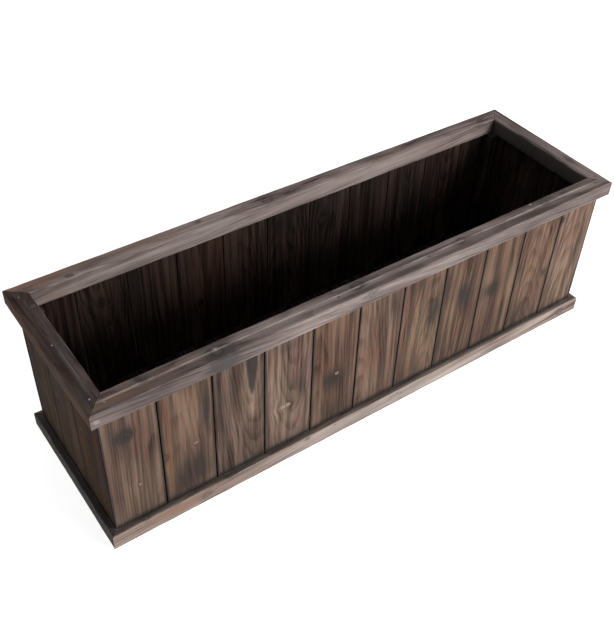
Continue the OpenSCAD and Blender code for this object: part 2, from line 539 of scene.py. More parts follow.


# %% [markdown]
# Everything that the materials need to know is stored here: the place in the log, the nearest knot, the
# patches, among them some painted shade and a painted highlight, the tone of the piece, which on the left
# end is painted shade, and the distance from its edges.

# %% Grow one piece
KNOT_REACH = 2.6
KNOT_SMOKE = 0.7
SMOKE_REACH = 2.2
FAR = (9.0, 9.0, 0.0)
PATCHES = ("scorch", "warm", "bare")


def grow(piece, along, across, section, marks, tone, chance, arris):
    """stores the log, the knots, the marks, the tone and the distance from an edge on the piece"""
    across_log, deep_log = (np.array(part, float) for part in section)
    knot = np.tile(FAR, (len(along), 1))
    paleness = np.zeros(len(along))
    nearest = np.full(len(along), KNOT_REACH)
    patches = {kind: np.zeros(len(along)) for kind in PATCHES}
    for kind, at, beside, *sizes in marks:
        if kind == "arch":
            draw_arch(patches, along, across, at, beside, *sizes)
            continue
        if kind != "knot":
            long, wide, strength = sizes
            patches[kind] += strength * bell(along, across, at, beside, long, wide)
            continue
        radius, pale, stretch = sizes
        sideways = across - beside
        lengthways = (along - at) / stretch
        reach = np.sqrt(sideways**2 + lengthways**2) / radius
        across_log -= sideways / np.maximum(reach, 1) ** 2
        closer = reach < nearest
        nearest = np.where(closer, reach, nearest)
        place = np.stack([sideways / radius, lengthways / radius, np.ones(len(along))], -1)
        knot[closer] = place[closer]
        paleness[closer] = pale
        patches["scorch"] += KNOT_SMOKE * (1 - pale) * np.exp(-((reach / SMOKE_REACH) ** 2))
    store(piece, "log", place_in_log(across_log, deep_log, along, chance) * MM)
    store(piece, "knot", knot)
    store(piece, "paleness", paleness)
    store(piece, "patches", np.stack(list(patches.values()), -1))
    store(piece, "tone", np.tile(tone, (len(along), 1)))
    store(piece, "arris", arris)
    return nearest


# %% [markdown]
# Some places are made darker: along the foot, on ledges, and in the joints, where it is painted shade. It
# darkens the wood as smoke does, so it is simply added to the scorching that a piece already has.

# %% Add darkening to a piece
def add_darkening(piece, amount):
    """adds darkening, some of it painted shade, to the smoky patches already stored"""
    patches = np.zeros(len(amount) * 3, np.float32)
    stored = piece.data.attributes["patches"].data
    stored.foreach_get("vector", patches)
    patches[0::3] += amount
    stored.foreach_set("vector", patches)


# %% [markdown]
# ## An uneven, worn surface
#
# Years of wet and dry leave no face flat. A Displace modifier with a cloud texture does the same, and a
# vertex group can hold it to a part of the piece. It only pushes inwards, so no piece outgrows its size in
# the frame.

# %% Lower a surface
def cloud(name, size):
    """a soft procedural cloud, its lumps a given number of millimetres apart"""
    texture = bpy.data.textures.new(name, "CLOUDS")
    texture.noise_scale = size * MM
    texture.noise_depth = 1
    return texture


def push_in(piece, name, depth, texture=None, weights=None):
    """a Displace modifier that lowers the surface, most where the texture is dark, and applies it"""
    change = piece.modifiers.new(name, "DISPLACE")
    change.strength = depth * MM if texture else -depth * MM
    change.mid_level = 1.0 if texture else 0.0
    if texture:
        change.texture = texture
        change.texture_coords = "LOCAL"
    if weights is not None:
        group = piece.vertex_groups.new(name=name)
        for step in range(1, 11):
            chosen = np.flatnonzero(np.round(weights * 10) == step)
            group.add(chosen.tolist(), step / 10, "REPLACE")
        change.vertex_group = group.name
    bpy.ops.object.modifier_apply(modifier=change.name)


# %% [markdown]
# The flat faces wander by a few tenths of a millimetre, and the edges are worn down in short bites. Where a
# piece has knots, their collars stay a little lower, because the brush took more of the scorched wood there.

# %% Weather a piece
SWELLING = cloud("swelling", 45)
BITES = cloud("bites", 18)
WEAR_REACH = 1.6
COLLAR_AT = 1.1
COLLAR_WIDTH = 0.3
COLLAR_DEPTH = 0.35


def weather(piece, arris, nearest_knot, swell=0.5, wear=0.9):
    """applies the three displacements and smooths the shading of the eased edges"""
    only(piece)
    push_in(piece, "swelling", swell, SWELLING)
    push_in(piece, "wear", wear, BITES, np.exp(-arris / WEAR_REACH))
    collar = np.exp(-(((nearest_knot - COLLAR_AT) / COLLAR_WIDTH) ** 2))
    if collar.max() > 0.2:
        push_in(piece, "knot collars", COLLAR_DEPTH, weights=collar)
    piece.vertex_groups.clear()
    bpy.ops.object.shade_smooth_by_angle(angle=math.radians(40))


def stand_for(piece, node):
    """the piece takes the node's place in the picture and rides where it rides"""
    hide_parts(node)
    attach(piece, "root")


# %% [markdown]
# ## Node groups
#
# Every wood material uses the same four effects, so each is a node group, built once and set differently
# in each material. Small functions keep the node building readable: `node` adds one node and fills its
# inputs in order, and the others are sums written as words.

# %% Add a node, and calculate with nodes
def feed(tree, socket, value):
    """links another socket to this one, or sets a number or colour, or leaves it for None"""
    if isinstance(value, bpy.types.NodeSocket):
        tree.links.new(value, socket)
    elif value is not None:
        socket.default_value = value


def node(tree, kind, *values, **options):
    """adds a shader node, sets its options and feeds its first inputs"""
    made = tree.nodes.new("ShaderNode" + kind)
    for name, option in options.items():
        setattr(made, name, option)
    for socket, value in zip(made.inputs, values):
        feed(tree, socket, value)
    return made


def calc(tree, operation, *values, clamp=False):
    """a sum, product or other operation on numbers that change over the surface"""
    return node(tree, "Math", *values, operation=operation, use_clamp=clamp).outputs[0]


def plus(tree, *values, **options):
    return calc(tree, "ADD", *values, **options)


def minus(tree, *values, **options):
    return calc(tree, "SUBTRACT", *values, **options)


def times(tree, *values, **options):
    return calc(tree, "MULTIPLY", *values, **options)


def weighted(tree, start, *terms):
    """a start value plus masks, each times its weight"""
    for mask, weight in terms:
        start = calc(tree, "MULTIPLY_ADD", mask, weight, start)
    return start


# %% [markdown]
# Three more tools turn numbers into a pattern: one limits a value softly, one mixes two colours, and one
# makes noise that can be stretched along the grain.

# %% Soft steps, colours and noise
def remap(tree, value, low, high, to_low=0.0, to_high=1.0):
    """a smooth step from one range to another"""
    ends = (low, high, to_low, to_high)
    return node(tree, "MapRange", value, *ends, interpolation_type="SMOOTHSTEP").outputs[0]


def blend(tree, share, first, second):
    """mixes two colours"""
    made = node(tree, "Mix", share, data_type="RGBA")
    feed(tree, made.inputs[6], first)
    feed(tree, made.inputs[7], second)
    return made.outputs[2]


def noise(tree, vector, scale, detail=2.0, roughness=0.5):
    """noise whose lumps are 1/scale long on each axis, in metres; 0 to 1"""
    stretched = node(tree, "VectorMath", vector, scale, operation="MULTIPLY").outputs[0]
    return node(tree, "TexNoise", stretched, None, 1.0, detail, roughness).outputs[0]


# %% [markdown]
# A group gets named inputs and outputs, so that a material sets it as it sets a shader. A material is
# started in one line, and its relief is a Bump node with a depth in millimetres.

# %% Groups and materials
def group(name, inputs, outputs):
    """an empty node group: its tree, its inputs by name, and a function that sends a value out of it"""
    tree = bpy.data.node_groups.new(name, "ShaderNodeTree")
    for label, default in inputs.items():
        kind = "NodeSocketVector" if isinstance(default, tuple) else "NodeSocketFloat"
        tree.interface.new_socket(label, in_out="INPUT", socket_type=kind).default_value = default
    for label in outputs:
        tree.interface.new_socket(label, in_out="OUTPUT", socket_type="NodeSocketFloat")
    enter = tree.nodes.new("NodeGroupInput")
    leave = tree.nodes.new("NodeGroupOutput")

    def send(label, value):
        tree.links.new(value, leave.inputs[label])

    return tree, {socket.name: socket for socket in enter.outputs if socket.name}, send


def stored(tree, name, output="Vector"):
    """what was stored on the vertices under a name"""
    return node(tree, "Attribute", attribute_name=name).outputs[output]


def new_material(name):
    """a material, its tree of nodes and its shader"""
    material = bpy.data.materials.new(name)
    material.use_nodes = True
    return material, material.node_tree, material.node_tree.nodes["Principled BSDF"]


def add_relief(tree, shader, height, depth, strength=1.0):
    """lets a mask raise the surface by up to a depth in millimetres"""
    bump = node(tree, "Bump", strength, depth * MM)
    tree.links.new(height, bump.inputs["Height"])
    tree.links.new(bump.outputs[0], shader.inputs["Normal"])


def use(tree, effect, **values):
    """places a node group in a material, with its own values, and returns its outputs by name"""
    made = tree.nodes.new("ShaderNodeGroup")
    made.node_tree = effect
    for name, value in values.items():
        feed(tree, made.inputs[name.replace("_", " ").title()], value)
    return {socket.name: socket for socket in made.outputs}


# %% [markdown]
# ### Growth rings
#
# The distance from the pith, divided by the width of a ring, counts the years. The part after the point is
# the season: pale spring wood first, then a dark line of late wood with a sharp outer side. A slow noise
# bends the rings, and two stretched noises add the fibres and the broad streaks of colour.

# %% Build the growth rings
def build_growth_rings():
    tree, given, send = group(
        "Growth rings",
        {"Log": (0.0, 0.0, 0.0), "Ring Width": 0.0035, "Waviness": 0.5},
        ("Late Wood", "Fibre", "Streak", "Blotch"),
    )
    flat = node(tree, "VectorMath", given["Log"], (1, 1, 0), operation="MULTIPLY").outputs[0]
    radius = node(tree, "VectorMath", flat, operation="LENGTH").outputs["Value"]
    wander = times(tree, minus(tree, noise(tree, given["Log"], (45, 45, 4), 2), 0.5), 7)
    years = calc(tree, "DIVIDE", radius, given["Ring Width"])
    years = plus(tree, years, times(tree, wander, given["Waviness"]))
    season = calc(tree, "FRACT", years)
    rise = remap(tree, season, 0.35, 0.88)
    fall = remap(tree, season, 0.9, 1.0, 1.0, 0.0)
    late = times(tree, rise, fall)
    fade = remap(tree, noise(tree, given["Log"], (60, 60, 5), 2), 0.3, 0.65, 0.25, 1.0)
    send("Late Wood", times(tree, late, fade))
    send("Fibre", noise(tree, given["Log"], (600, 250, 7), 3, 0.6))
    streak = noise(tree, given["Log"], (130, 60, 2.2), 2.5, 0.6)
    send("Streak", remap(tree, streak, 0.34, 0.66))
    send("Blotch", noise(tree, given["Log"], (28, 14, 7), 3))
    return tree


GROWTH_RINGS = build_growth_rings()
print("growth rings:", len(GROWTH_RINGS.nodes), "nodes")

# %% [markdown]
# ### Knots
#
# A knot is a branch cut across. It has a heart with rings of its own, a dark bark collar where the branch
# had died, and often a split. The attribute "knot" already gives the place inside it, so the group only has
# to turn a distance into masks, after roughening the outline.

# %% Build the knots
def build_knots():
    tree, given, send = group(
        "Knots", {"Knot": (9.0, 9.0, 0.0), "Log": (0.0, 0.0, 0.0)}, ("Core", "Collar", "Split")
    )
    place = node(tree, "SeparateXYZ", given["Knot"]).outputs
    flat = node(tree, "VectorMath", given["Knot"], (1, 1, 0), operation="MULTIPLY").outputs[0]
    reach = node(tree, "VectorMath", flat, operation="LENGTH").outputs["Value"]
    ragged = minus(tree, noise(tree, given["Log"], (260, 260, 200), 3), 0.5)
    reach = plus(tree, reach, times(tree, ragged, 0.9))
    near = calc(tree, "GREATER_THAN", place[2], 0.97)
    core = times(tree, remap(tree, reach, 0.75, 1.05, 1.0, 0.0), near)
    ripple = calc(tree, "SINE", times(tree, reach, 16))
    rings = calc(tree, "MULTIPLY_ADD", ripple, 0.2, 0.8)
    send("Core", times(tree, core, rings))
    collar = times(tree, remap(tree, reach, 0.7, 1.0), remap(tree, reach, 1.0, 1.5, 1.0, 0.0))
    send("Collar", times(tree, collar, near))
    thin = remap(tree, calc(tree, "ABSOLUTE", plus(tree, place[0], ragged)), 0.05, 0.16, 1.0, 0.0)
    send("Split", times(tree, thin, core))
    return tree


KNOTS = build_knots()
print("knots:", len(KNOTS.nodes), "nodes")

# %% [markdown]
# ### Scorching and painted shade
#
# The boards were singed with a torch and brushed. Where the flame stayed longer the wood is grey to black,
# in soft patches that follow the grain. The listed marks are mixed with a little noise here, so that
# no patch is a plain oval.

# %% Build the scorching
def build_scorching():
    tree, given, send = group(
        "Scorching", {"Log": (0.0, 0.0, 0.0), "Mark": 0.0, "Everywhere": 0.2}, ("Smoke", "Char")
    )
    drift = noise(tree, given["Log"], (70, 35, 12), 4, 0.6)
    streaky = noise(tree, given["Log"], (300, 70, 5), 2)
    broken = plus(tree, times(tree, drift, 1.1), times(tree, streaky, 0.7))
    marked_smoke_and_shade = times(tree, given["Mark"], broken)
    patchy = times(tree, remap(tree, drift, 0.5, 0.8), given["Everywhere"])
    smoke = plus(tree, marked_smoke_and_shade, patchy, clamp=True)
    send("Smoke", smoke)
    send("Char", remap(tree, smoke, 0.55, 1.0))
    return tree


SCORCHING_AND_SHADE = build_scorching()
print("scorching:", len(SCORCHING_AND_SHADE.nodes), "nodes")

# %% [markdown]
# ### Worn edges
#
# Along an edge the stain is rubbed thin and paler wood shows, in dashes rather than a line. The attribute
# "arris" is the distance from the nearest edge, and noise makes the wear come and go. On the rim tops the
# step counts as an edge, and the pale line along it is partly wear and partly a painted highlight.

# %% Build the edge wear
def build_edge_wear():
    tree, given, send = group(
        "Edge wear", {"Log": (0.0, 0.0, 0.0), "Distance": 9.0, "Reach": 1.5, "Amount": 0.5}, ("Wear",)
    )
    dashes = remap(tree, noise(tree, given["Log"], (160, 160, 22), 4, 0.6), 0.38, 0.62)
    close = minus(tree, 1, calc(tree, "DIVIDE", given["Distance"], given["Reach"]), clamp=True)
    wear = times(tree, times(tree, close, dashes), given["Amount"], clamp=True)
    send("Wear", wear)
    return tree


EDGE_WEAR_AND_HIGHLIGHT = build_edge_wear()
print("edge wear:", len(EDGE_WEAR_AND_HIGHLIGHT.nodes), "nodes")

# %% [markdown]
# ## One recipe for all the wood
#
# The order is that of the real finish. First comes the bare wood: spring wood, late wood, fibres and streaks
# of resin. Then the tone of this one board, because no two boards took the stain alike; on the left end this
# tone is painted shade. Then smoke, which also carries painted shade, and knots, and at last the wear, which
# takes some of it away and along the rim's step is partly a painted highlight. The relief comes from the same
# masks, since the brush digs out the soft spring wood and leaves the late wood standing.

# %% Colour the bare wood
BLOTCHES = 0.8


def tint(colour, share):
    """a colour made darker or lighter, with its alpha"""
    return (*[share * part for part in colour], 1)


def bare_wood(tree, rings, colours, streaks, fibres, late_wood):
    """runs from the dark to the light colour as the grain does"""
    start = 0.5 + 0.3 * late_wood - 0.5 * (streaks + fibres + BLOTCHES)
    value = weighted(tree, start, (rings["Streak"], streaks), (rings["Fibre"], fibres),
                     (rings["Blotch"], BLOTCHES), (rings["Late Wood"], -late_wood))
    ramp = node(tree, "ValToRGB", value)
    ramp.color_ramp.elements.new(0.5)
    for element, place, colour in zip(ramp.color_ramp.elements, (0.0, 0.5, 1.0), colours):
        element.position = place
        element.color = (*colour, 1)
    return ramp.outputs[0]


# %% [markdown]
# The numbers of a finish say how strong each effect is. A scorched softwood is nearly without gloss, so its
# specular level is close to nothing.

# %% Build a wood
DULL = 0.02
BLACK = (0.004, 0.003, 0.003, 1)


def wood(name, dark, middle, light, warm, worn_and_highlight, ring=0.0035, waviness=0.5, streaks=1.0, fibres=0.8,
         late_wood=0.4, smoke=0.3, edge=0.6, edge_reach=1.5, roughness=0.7, relief=0.25):
    """a stained softwood; the colours are linear, and tone and marks come from the piece"""
    material, tree, shader = new_material(name)
    shader.inputs["Specular IOR Level"].default_value = DULL
    log = stored(tree, "log")
    rings = use(tree, GROWTH_RINGS, log=log, ring_width=ring, waviness=waviness)
    knots = use(tree, KNOTS, knot=stored(tree, "knot"), log=log)
    marked_smoke_and_shade, warmed, bared_and_highlight = node(tree, "SeparateXYZ", stored(tree, "patches")).outputs
    value_and_shade_here, resin_here, richness = node(tree, "SeparateXYZ", stored(tree, "tone")).outputs
    paleness = stored(tree, "paleness", "Fac")
    distance = stored(tree, "arris", "Fac")
    scorch = use(tree, SCORCHING_AND_SHADE, log=log, mark=marked_smoke_and_shade, everywhere=smoke)
    wear = use(tree, EDGE_WEAR_AND_HIGHLIGHT, log=log, distance=distance, reach=edge_reach, amount=edge)["Wear"]

    colour = bare_wood(tree, rings, (dark, middle, light), streaks, fibres, late_wood)
    resin = times(tree, rings["Streak"], plus(tree, warmed, resin_here))
    resin = times(tree, resin, remap(tree, rings["Fibre"], 0.2, 0.6), clamp=True)
    colour = blend(tree, resin, colour, (*warm, 1))
    hue = calc(tree, "MULTIPLY_ADD", rings["Blotch"], 0.05, 0.475)
    # The value of the tone darkens the left end: painted shade.
    colour = node(tree, "HueSaturation", hue, richness, value_and_shade_here, 1.0, colour).outputs[0]
    # The smoke mask also carries the painted shade stored with the scorch marks.
    smoke_and_shade_colour = [0.4 * part + 1.1 * sum(dark) / 3 for part in dark]
    colour = blend(tree, times(tree, scorch["Smoke"], 0.85), colour, (*smoke_and_shade_colour, 1))
    pale_knot = blend(tree, paleness, tint(dark, 0.6), tint(light, 1.5))
    colour = blend(tree, times(tree, knots["Core"], 0.8), colour, pale_knot)
    collar = times(tree, knots["Collar"], calc(tree, "MULTIPLY_ADD", paleness, -0.35, 0.5))
    colour = blend(tree, collar, colour, tint(dark, 0.5))
    colour = blend(tree, times(tree, knots["Split"], 0.5), colour, BLACK)
    bare = calc(tree, "MAXIMUM", wear, times(tree, bared_and_highlight, rings["Fibre"], clamp=True))
    bare = times(tree, bare, calc(tree, "MULTIPLY_ADD", value_and_shade_here, 0.7, 0.3), clamp=True)
    colour = blend(tree, bare, colour, (*worn_and_highlight, 1))
    tree.links.new(colour, shader.inputs["Base Color"])

    rough = weighted(tree, roughness - 0.15, (rings["Fibre"], 0.3), (rings["Late Wood"], -0.12))
    rough = plus(tree, rough, times(tree, scorch["Char"], 0.12), clamp=True)
    tree.links.new(rough, shader.inputs["Roughness"])
    height = weighted(tree, 0, (rings["Late Wood"], 0.5), (rings["Fibre"], 0.9), (knots["Core"], 0.6),
                      (knots["Split"], -0.9))
    add_relief(tree, shader, height, relief, 0.7)
    return material


# %% [markdown]
# ### The finishes
#
# The boards are warm brown, from tan to umber. The rim and the trim have stood out in the light and have
# gone grey, with a trace of mauve; on the rim the grey is partly this weathering and partly a painted sheen.
# The inside is nearly black, which is painted shade, and the sawn frame pieces are left rough and nearly as
# dark, also painted shade.

# %% Set the finishes
BOARD_WOOD = wood(
    "brushed board", (0.030, 0.020, 0.016), (0.126, 0.085, 0.066), (0.290, 0.200, 0.155),
    warm=(0.190, 0.095, 0.065), worn_and_highlight=(0.330, 0.230, 0.175),
    waviness=0.25, streaks=0.42, fibres=0.65, late_wood=0.25, edge=0.25, edge_reach=1.2,
)
# The grey and mauve of the rim are partly weathering and partly a painted sheen.
RIM_WOOD_AND_SHEEN = wood(
    "weathered rim", (0.055, 0.040, 0.037), (0.235, 0.184, 0.174), (0.440, 0.375, 0.360),
    warm=(0.250, 0.155, 0.108), worn_and_highlight=(0.520, 0.440, 0.410),
    ring=0.007, waviness=0.3, streaks=0.45, fibres=0.8, late_wood=0.25, edge=0.6, edge_reach=2.2,
)
TRIM_WOOD = wood(
    "weathered trim", (0.065, 0.044, 0.036), (0.250, 0.190, 0.164), (0.470, 0.395, 0.360),
    warm=(0.260, 0.165, 0.120), worn_and_highlight=(0.560, 0.480, 0.440),
    ring=0.007, waviness=0.3, streaks=0.5, fibres=0.9, late_wood=0.3, edge=0.9, edge_reach=2.5,
)
INSIDE_PAINTED_SHADE = wood(
    "preserved inside", (0.010, 0.008, 0.007), (0.032, 0.022, 0.019), (0.070, 0.047, 0.040),
    warm=(0.065, 0.028, 0.021), worn_and_highlight=(0.110, 0.080, 0.062),
    waviness=0.3, streaks=0.7, edge=0.1, roughness=0.8,
)
FRAME_PAINTED_SHADE = wood(
    "sawn frame", (0.016, 0.013, 0.011), (0.052, 0.038, 0.032), (0.110, 0.082, 0.068),
    warm=(0.070, 0.033, 0.020), worn_and_highlight=(0.180, 0.135, 0.105),
    ring=0.0045, streaks=0.5, edge=0.3, roughness=0.85, relief=0.5,
)
print("finishes:", [finish.name for finish in (BOARD_WOOD, RIM_WOOD_AND_SHEEN, TRIM_WOOD, INSIDE_PAINTED_SHADE, FRAME_PAINTED_SHADE)])

# %% [markdown]
# ### Brad steel
#
# The brads are bright wire, gone dull and spotted with a little rust at the head. The metal is broken up by
# noise between clean zinc and rust, and where it is rusty it is rough and no longer a metal.

# %% Build the brad steel
def brad_steel():
    material, tree, shader = new_material("brad steel")
    place = node(tree, "TexCoord").outputs["Object"]
    spots = remap(tree, noise(tree, place, (900, 900, 900), 4, 0.6), 0.5, 0.66)
    smear = noise(tree, place, (350, 350, 350), 2)
    clean = blend(tree, smear, (0.14, 0.13, 0.12, 1), (0.34, 0.32, 0.30, 1))
    tree.links.new(blend(tree, spots, clean, (0.11, 0.045, 0.02, 1)), shader.inputs["Base Color"])
    tree.links.new(minus(tree, 1, spots), shader.inputs["Metallic"])
    tree.links.new(remap(tree, spots, 0, 1, 0.35, 0.85), shader.inputs["Roughness"])
    add_relief(tree, shader, spots, 0.05)
    return material


BRAD_STEEL = brad_steel()
for name in ("rim_brads", "trim_brads", "board_brads", "post_brads", "floor_brads"):
    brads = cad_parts[name]
    brads.data.materials.clear()
    brads.data.materials.append(BRAD_STEEL)
print("groups of brads with a finish:", BRAD_STEEL.users)

# %% [markdown]
# ## Marks that nature left
#
# Some knots and scorch marks give a board its face, and these are listed one by one. The rest come from a
# seeded chance, so the sides and the back are as lively as the front, and every run gives the same box.

# %% Marks on the front
FRONT_MARKS = {
    1: [("knot", 222, 40, 4.5, 0.15, 0.8), ("scorch", 222, 36, 13, 15, 1.0),
        ("knot", 105, 48, 2.5, 0.9, 1.2), ("scorch", 215, 24, 40, 22, 0.7),
        ("warm", 215, 62, 45, 12, 1.0), ("scorch", 95, 14, 60, 8, 0.5)],
    2: [("warm", 150, 10, 140, 5, 0.8), ("knot", 136, 55, 4, 0.8, 0.7), ("scorch", 82, 55, 36, 22, 1.2),
        ("scorch", 200, 74, 60, 7, 1.2), ("knot", 134, 4, 4, 0.2, 1.5), ("bare", 215, 40, 50, 20, 0.3)],
    3: [("arch", 180, 66, 70, 12, 2.2), ("warm", 156, 66, 24, 5, 1.0), ("bare", 156, 66, 24, 4, 1.8),
        ("bare", 215, 53, 40, 1.5, 0.6), ("scorch", 215, 30, 60, 5, 0.8), ("scorch", 150, 12, 100, 5, 0.9)],
    4: [("knot", 120, 38, 10, 0.85, 0.55), ("bare", 118, 20, 6, 9, 0.6), ("warm", 200, 60, 90, 6, 0.5),
        ("scorch", 248, 42, 10, 14, 0.7)],
    5: [("knot", 138, 49, 4, 0.8, 1.0), ("scorch", 128, 40, 22, 24, 1.2), ("scorch", 55, 44, 40, 35, 0.5),
        ("warm", 200, 25, 80, 6, 0.7)],
    6: [("warm", 222, 33, 28, 3, 1.3), ("warm", 142, 43, 6, 5, 1.2), ("scorch", 235, 70, 30, 10, 0.8)],
    7: [("scorch", 175, 71, 32, 14, 1.1), ("bare", 160, 2, 110, 1.5, 0.6), ("scorch", 250, 30, 24, 16, 0.7)],
    8: [("scorch", 178, 53, 34, 18, 1.1), ("scorch", 80, 10, 50, 10, 0.5)],
    9: [("scorch", 161, 30, 16, 20, 1.1), ("warm", 220, 60, 60, 8, 0.4)],
    10: [("scorch", 138, 75, 10, 6, 1.1), ("warm", 150, 40, 120, 10, 0.4), ("scorch", 60, 30, 30, 30, 0.4)],
    11: [("knot", 248, 3, 4, 0.1, 1.4), ("scorch", 85, 84, 34, 6, 1.0), ("warm", 180, 50, 120, 12, 0.4)],
}
FRONT_TONES = (0.86, 0.84, 0.82, 1.08, 0.88, 0.90, 0.84, 0.78, 0.80, 0.92, 1.12)
# The left end is made much darker and richer in colour: painted shade.
WALL_TONES_AND_SHADE = ((1.0, 1.0), (0.9, 1.0), (1.0, 1.0), (0.31, 1.5))
print("marks placed by hand on the front boards:", sum(len(marks) for marks in FRONT_MARKS.values()))

# %% [markdown]
# Chance follows habit: a board of this size has none, one or two knots, seldom at its edge, and two or
# three smoky patches that are longer than wide. A rail has a knot every hand's breadth or so.

# %% Marks by chance
def chance_marks(chance, length, low, high, knots, patches, radius=(3, 8)):
    """knots and scorched patches scattered over a strip that is length long and runs from low to high"""
    marks = []
    for _ in range(knots):
        pale = chance.choice((0.1, 0.2, 0.3, 0.8))
        marks.append(("knot", chance.uniform(15, length - 15), chance.uniform(low, high),
                      chance.uniform(*radius), pale, 1.4))
    for _ in range(patches):
        kind = chance.choice(("scorch", "scorch", "warm"))
        marks.append((kind, chance.uniform(0, length), chance.uniform(low, high),
                      chance.uniform(18, 60), chance.uniform(4, 14), chance.uniform(0.4, 1.0)))
    return marks


def rail_marks(chance, length, high, knot_pitch):
    """marks for a rail or a strip, with small knots at about the given pitch"""
    return chance_marks(chance, length, -25, high, int(length / knot_pitch), int(length / 120), (2, 4))


# %% [markdown]
# ## The wall boards
#
# The boards stand with a narrow open joint between them. The face and the back are different finishes on
# one piece, so the faces are sorted by the way they point: what looks outwards keeps the brushed brown, and
# the back and the two edges in the joints take the nearly black inside finish, which is painted shade.

# %% Sort faces between two finishes
def dress(piece, outside, inside=None, is_inside=None):
    """gives a piece its finish, and the faces that pass the test a second one"""
    piece.data.materials.clear()
    piece.data.materials.append(outside)
    if inside:
        piece.data.materials.append(inside)
        for face in piece.data.polygons:
            face.material_index = int(is_inside(face.center / MM, face.normal))


# %% [markdown]
# Each board is copied into its place, gets its knots and marks and its own tone, which on the left end is
# painted shade, and is made darker along the foot, with painted shade beside the joints. The edges take the
# dark inside finish to within a millimetre of the face; this is painted shade, and keeps every joint a thin
# dark line.

# %% Place the wall boards
INWARD = ((0, 1), (-1, 0), (0, -1), (1, 0))
SHADE_RUNS_IN = 1.0
JOINT_SIDE = 0.8
JOINT_PAINTED_SHADE = 1.3


def wall_board(side, number, model, width):
    node_name = f"{SIDES[side]}_board_{number}"
    low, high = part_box(node_name)
    start = (low.x / MM + half_l, low.y / MM + half_w, half_l - high.x / MM, half_w - high.y / MM)[side]
    piece = copy_to(model, node_name + "_wood", (start, overhang, 0), side)
    chance = random.Random(node_name)
    marks = chance_marks(chance, board_h, 6, width - 6, chance.choice((0, 1, 1, 2)), 3)
    value, richness = WALL_TONES_AND_SHADE[side]
    tone = [chance.uniform(0.85, 1.1) * value, chance.uniform(0.1, 0.3)]
    tone.append(chance.uniform(0.95, 1.15) * richness)
    if side == 0:
        marks = FRONT_MARKS[number] + marks[-1:]
        tone[0] = FRONT_TONES[number - 1]
    along, inward, up = points_of(piece, side)
    across = along - start
    arris = arris_distance((across, inward, up), (0, overhang, 0), (width, overhang + board_t, board_h))
    nearest = grow(piece, up, across, (across, inward), marks, tone, chance, arris)
    # Beside the joints the face gets painted shade; the foot is made darker.
    at_joint = np.minimum(across, width - across) < JOINT_SIDE
    foot = 1.1 * np.exp(-(((up - trim_h) / 6) ** 2)) + 0.3 * np.exp(-(((up - trim_h) / 45) ** 2))
    add_darkening(piece, (inward < overhang + board_t / 2) * (foot + JOINT_PAINTED_SHADE * at_joint))
    weather(piece, arris, nearest, swell=0.3, wear=0.4)
    x, y = INWARD[side]
    face_at = overhang - (half_l if side % 2 else half_w)

    def is_inside(middle, facing):
        depth = middle.x * x + middle.y * y - face_at
        return facing.x * x + facing.y * y > -0.5 and depth > SHADE_RUNS_IN

    dress(piece, BOARD_WOOD, INSIDE_PAINTED_SHADE, is_inside)
    stand_for(piece, node_name)
    return piece


walls = []
for side in range(4):
    model, width, count = (front_board, board_w, 11) if side % 2 == 0 else (end_board, end_board_w, 3)
    walls += [wall_board(side, number, model, width) for number in range(1, count + 1)]
print("wall boards:", len(walls))

# %% [markdown]
# ## The rim
#
# A rail is measured across from its outer top corner: positive on the top and on down the inner face,
# negative down the outer face. A knot placed near zero then wraps over the corner, as a branch does that
# was sawn at a slant.

# %% Place the rim
RIM_MARKS = {
    0: [("knot", 84, 25, 4.5, 0.05, 1.0), ("bare", 78, 17, 8, 1.5, 1.8), ("scorch", 92, 22, 8, 4, 1.2),
        ("warm", 60, 12, 80, 16, 1.5), ("knot", 200, 14, 8, 0.1, 1.2), ("scorch", 204, 6, 17, 24, 2.2),
        ("bare", 200, 18, 4, 3, 1.8), ("scorch", 205, -16, 17, 12, 2.2),
        ("scorch", 240, 6, 10, 2, 1.4), ("knot", 449, 19, 7, 0.1, 1.4), ("scorch", 449, 20, 20, 7, 1.0),
        ("scorch", 470, -14, 14, 8, 0.9), ("knot", 659, 18, 5, 0.2, 1.4), ("knot", 848, 20, 5, 0.2, 1.4),
        ("scorch", 898, 22, 14, 4, 1.0), ("bare", 9, -17, 4, 2.4, 1.7), ("scorch", 100, -12, 120, 16, 0.7),
        ("bare", 520, -14, 200, 10, 0.45), ("scorch", 820, -4, 180, 22, 0.5), ("bare", 300, 27, 220, 4, 0.3),
        ("scorch", 480, 5, 420, 4, 0.6)],
    1: [("scorch", 150, 30, 60, 4, 1.3), ("knot", 90, 14, 5, 0.2, 1.4), ("scorch", 150, 7, 200, 5, 0.4),
        # The long patch over the whole inner face of the right rail is painted shade.
        ("scorch", 150, 50, 260, 15, 2.2)],
    2: [("scorch", 860, 12, 30, 12, 0.6), ("scorch", 228, 10, 24, 8, 0.8), ("knot", 55, 16, 4, 0.1, 1.4),
        ("knot", 545, 22, 6, 0.2, 1.4), ("warm", 960, 20, 60, 30, 1.1), ("warm", 820, 8, 120, 10, 0.9),
        # The last patch, at the right end of the back rail's inner face, is a painted shadow of the right
        # rail.
        ("bare", 460, 47, 240, 14, 0.9), ("scorch", 12, 50, 22, 12, 1.5)],
    # On the left rail a thin dark line runs just outside the step, and the last mark, a thin pale line along
    # the step, is a painted highlight.
    3: [("warm", 165, 13, 14, 4, 1.2), ("knot", 60, 24, 4, 0.2, 1.4), ("scorch", 150, 14, 200, 3, 0.6),
        ("bare", 235, 25, 50, 5, 0.4), ("warm", 150, -15, 260, 13, 1.4), ("bare", 200, 18, 90, 1.5, 0.9)],
}
# The left rail is made much darker and richer in colour: painted shade.
RIM_TONES_AND_SHADE = ((0.86, 0.15, 1.0), (0.88, 0.15, 1.0), (1.18, 0.2, 1.0), (0.33, 0.1, 1.5))


